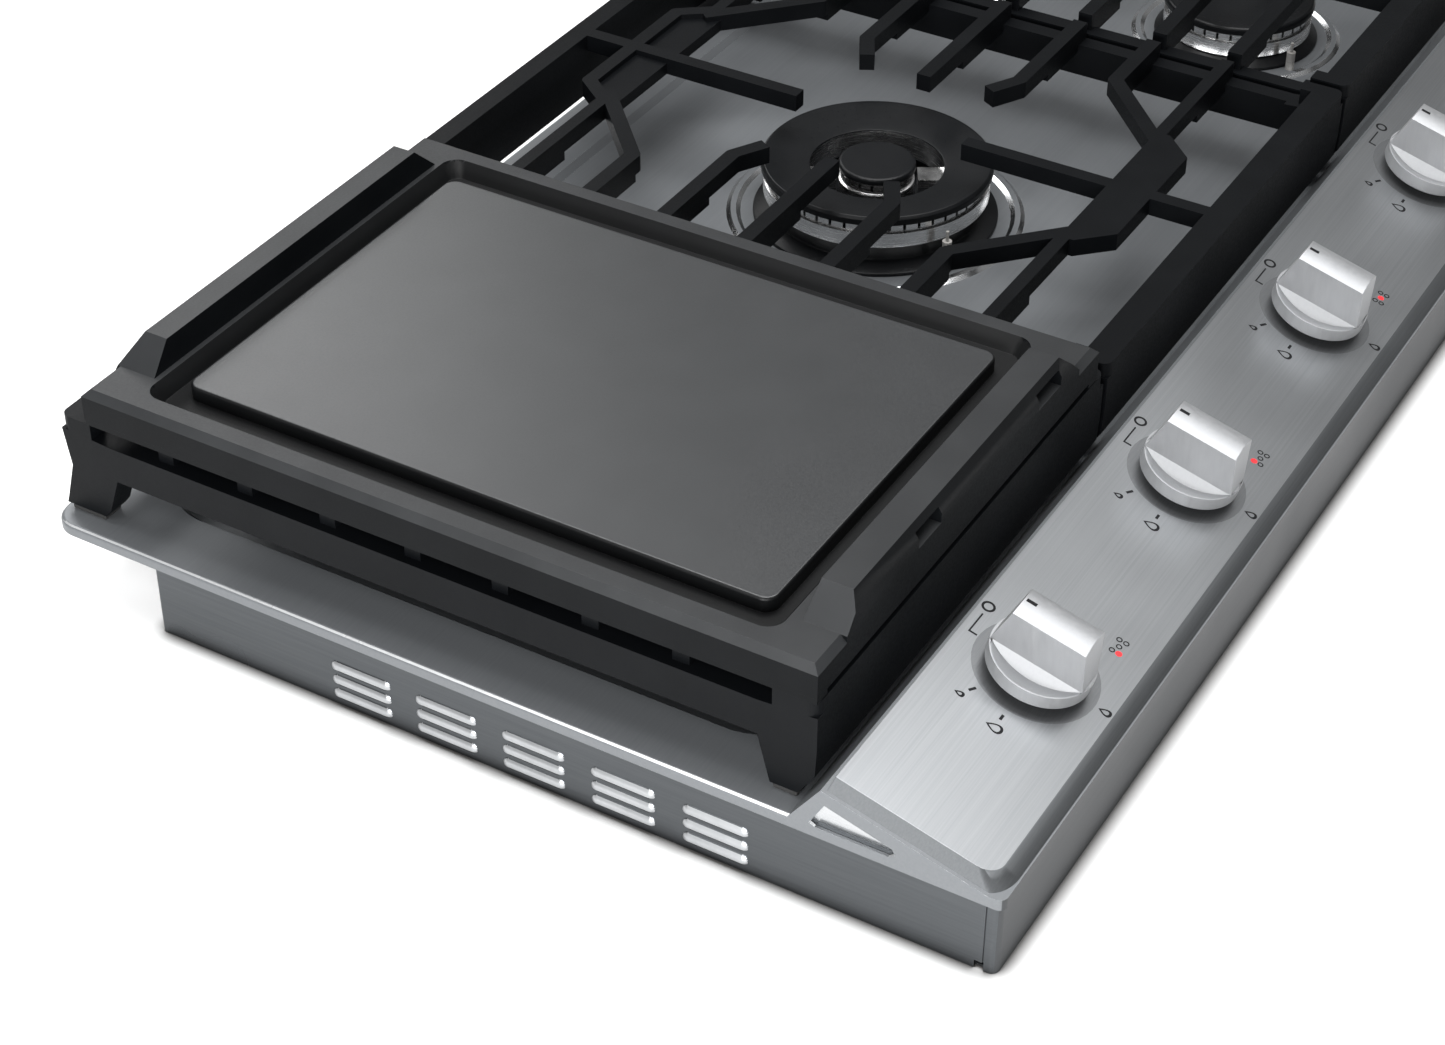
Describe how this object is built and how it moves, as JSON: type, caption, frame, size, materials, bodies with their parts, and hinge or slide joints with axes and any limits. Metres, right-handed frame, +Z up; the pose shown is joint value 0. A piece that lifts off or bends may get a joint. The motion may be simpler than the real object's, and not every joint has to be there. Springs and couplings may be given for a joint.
{
  "type": "gas cooktop",
  "caption": "Drop-in gas cooktop with a tilted control panel, push-and-turn knobs, sealed burners, lift-off cast-iron grates and a lift-off griddle plate.",
  "frame": {"origin": "middle of the bounding box at the underside of the burner box", "axes": "+X to the user's right along the width, +Y from the control panel to the back, +Z up"},
  "size_m": [0.9144, 0.5112, 0.1377],
  "materials": {
    "pan_steel": "satin pressed stainless steel",
    "box_steel": "satin stainless sheet",
    "panel_steel": "brushed along the panel",
    "knob_metal": "satin cast metal",
    "trim_polish": "polished",
    "grate_iron": "matte enamelled",
    "griddle_iron": "smooth dark coating",
    "foot_rubber": "matte",
    "burner_metal": "machined satin",
    "burner_enamel": "semi-matt black enamel",
    "valve_brass": "machined",
    "stem_steel": "turned",
    "pipe_metal": "drawn tube",
    "zinc_steel": "zinc plated",
    "module_plastic": "moulded",
    "electrode": "glazed white"
  },
  "bodies": {
    "cooktop": {"burner_box": "box_steel", "top_pan": "pan_steel", "control_panel": "panel_steel", "side_trim_left": "trim_polish", "side_trim_right": "trim_polish", "burner_base_left_front": "burner_enamel", "burner_base_left_rear": "burner_enamel", "burner_base_right_front": "burner_enamel", "burner_base_right_rear": "burner_enamel", "dual_burner_base": "burner_enamel", "igniters": "electrode", "gas_valve_1": "valve_brass", "gas_valve_2": "valve_brass", "gas_valve_3": "valve_brass", "gas_valve_4": "valve_brass", "gas_valve_5": "valve_brass", "gas_manifold": "pipe_metal", "gas_regulator": "pipe_metal", "gas_inlet": "valve_brass", "feed_tubes": "pipe_metal", "spark_module": "module_plastic", "cord_gland": "module_plastic", "hold_down_brackets": "zinc_steel", "bracket_screws": "zinc_steel", "burner_screws": "zinc_steel"},
    "rotor_1": {"valve_plug_1": "valve_brass"},
    "control_1": {"knob_1": "knob_metal", "valve_stem_1": "stem_steel"},
    "rotor_2": {"valve_plug_2": "valve_brass"},
    "control_2": {"knob_2": "knob_metal", "valve_stem_2": "stem_steel"},
    "rotor_3": {"valve_plug_3": "valve_brass"},
    "control_3": {"knob_3": "knob_metal", "valve_stem_3": "stem_steel"},
    "rotor_4": {"valve_plug_4": "valve_brass"},
    "control_4": {"knob_4": "knob_metal", "valve_stem_4": "stem_steel"},
    "rotor_5": {"valve_plug_5": "valve_brass"},
    "control_5": {"knob_5": "knob_metal", "valve_stem_5": "stem_steel"},
    "head_left_front": {"burner_head_left_front": "burner_metal"},
    "cap_left_front": {"burner_cap_left_front": "burner_enamel"},
    "head_left_rear": {"burner_head_left_rear": "burner_metal"},
    "cap_left_rear": {"burner_cap_left_rear": "burner_enamel"},
    "head_right_front": {"burner_head_right_front": "burner_metal"},
    "cap_right_front": {"burner_cap_right_front": "burner_enamel"},
    "head_right_rear": {"burner_head_right_rear": "burner_metal"},
    "cap_right_rear": {"burner_cap_right_rear": "burner_enamel"},
    "outer_head": {"dual_outer_head": "burner_metal"},
    "ring_cap": {"dual_ring_cap": "burner_enamel"},
    "inner_head": {"dual_inner_head": "burner_metal"},
    "inner_cap": {"dual_inner_cap": "burner_enamel"},
    "left_grate": {"grate_left": "grate_iron", "grate_feet_left": "foot_rubber"},
    "centre_grate": {"grate_centre": "grate_iron", "grate_feet_centre": "foot_rubber"},
    "right_grate": {"grate_right": "grate_iron", "grate_feet_right": "foot_rubber"},
    "griddle_plate": {"griddle": "griddle_iron"}
  },
  "joints": [
    {"name": "knob_turn_1", "type": "hinge", "parent": "cooktop", "child": "rotor_1", "pos_m": [-0.334, -0.20985, 0.06072], "axis": [0, -0.2639, 0.9646], "range_deg": [0, 270]},
    {"name": "knob_push_1", "type": "slide", "parent": "rotor_1", "child": "control_1", "axis": [0, 0.2639, -0.9646], "range_m": [0, 0.003], "stiffness_N_per_m": 400, "springref_m": -0.008},
    {"name": "knob_turn_2", "type": "hinge", "parent": "cooktop", "child": "rotor_2", "pos_m": [-0.167, -0.20985, 0.06072], "axis": [0, -0.2639, 0.9646], "range_deg": [0, 270]},
    {"name": "knob_push_2", "type": "slide", "parent": "rotor_2", "child": "control_2", "axis": [0, 0.2639, -0.9646], "range_m": [0, 0.003], "stiffness_N_per_m": 400, "springref_m": -0.008},
    {"name": "knob_turn_3", "type": "hinge", "parent": "cooktop", "child": "rotor_3", "pos_m": [0, -0.20985, 0.06072], "axis": [0, -0.2639, 0.9646], "range_deg": [0, 270]},
    {"name": "knob_push_3", "type": "slide", "parent": "rotor_3", "child": "control_3", "axis": [0, 0.2639, -0.9646], "range_m": [0, 0.003], "stiffness_N_per_m": 400, "springref_m": -0.008},
    {"name": "knob_turn_4", "type": "hinge", "parent": "cooktop", "child": "rotor_4", "pos_m": [0.167, -0.20985, 0.06072], "axis": [0, -0.2639, 0.9646], "range_deg": [0, 270]},
    {"name": "knob_push_4", "type": "slide", "parent": "rotor_4", "child": "control_4", "axis": [0, 0.2639, -0.9646], "range_m": [0, 0.003], "stiffness_N_per_m": 400, "springref_m": -0.008},
    {"name": "knob_turn_5", "type": "hinge", "parent": "cooktop", "child": "rotor_5", "pos_m": [0.334, -0.20985, 0.06072], "axis": [0, -0.2639, 0.9646], "range_deg": [0, 270]},
    {"name": "knob_push_5", "type": "slide", "parent": "rotor_5", "child": "control_5", "axis": [0, 0.2639, -0.9646], "range_m": [0, 0.003], "stiffness_N_per_m": 400, "springref_m": -0.008},
    {"name": "head_lift_left_front", "type": "slide", "parent": "cooktop", "child": "head_left_front", "axis": [0, 0, 1], "range_m": [0, 0.006]},
    {"name": "cap_lift_left_front", "type": "slide", "parent": "head_left_front", "child": "cap_left_front", "axis": [0, 0, 1], "range_m": [0, 0.008]},
    {"name": "head_lift_left_rear", "type": "slide", "parent": "cooktop", "child": "head_left_rear", "axis": [0, 0, 1], "range_m": [0, 0.006]},
    {"name": "cap_lift_left_rear", "type": "slide", "parent": "head_left_rear", "child": "cap_left_rear", "axis": [0, 0, 1], "range_m": [0, 0.008]},
    {"name": "head_lift_right_front", "type": "slide", "parent": "cooktop", "child": "head_right_front", "axis": [0, 0, 1], "range_m": [0, 0.006]},
    {"name": "cap_lift_right_front", "type": "slide", "parent": "head_right_front", "child": "cap_right_front", "axis": [0, 0, 1], "range_m": [0, 0.008]},
    {"name": "head_lift_right_rear", "type": "slide", "parent": "cooktop", "child": "head_right_rear", "axis": [0, 0, 1], "range_m": [0, 0.006]},
    {"name": "cap_lift_right_rear", "type": "slide", "parent": "head_right_rear", "child": "cap_right_rear", "axis": [0, 0, 1], "range_m": [0, 0.008]},
    {"name": "outer_head_lift", "type": "slide", "parent": "cooktop", "child": "outer_head", "axis": [0, 0, 1], "range_m": [0, 0.006]},
    {"name": "ring_cap_lift", "type": "slide", "parent": "outer_head", "child": "ring_cap", "axis": [0, 0, 1], "range_m": [0, 0.008]},
    {"name": "inner_head_lift", "type": "slide", "parent": "cooktop", "child": "inner_head", "axis": [0, 0, 1], "range_m": [0, 0.006]},
    {"name": "inner_cap_lift", "type": "slide", "parent": "inner_head", "child": "inner_cap", "axis": [0, 0, 1], "range_m": [0, 0.008]},
    {"name": "left_grate_lift", "type": "slide", "parent": "cooktop", "child": "left_grate", "axis": [0, 0, 1], "range_m": [0, 0.12]},
    {"name": "centre_grate_lift", "type": "slide", "parent": "cooktop", "child": "centre_grate", "axis": [0, 0, 1], "range_m": [0, 0.12]},
    {"name": "right_grate_lift", "type": "slide", "parent": "cooktop", "child": "right_grate", "axis": [0, 0, 1], "range_m": [0, 0.12]},
    {"name": "griddle_lift", "type": "slide", "parent": "left_grate", "child": "griddle_plate", "axis": [0, 0, 1], "range_m": [0, 0.15]}
  ]
}
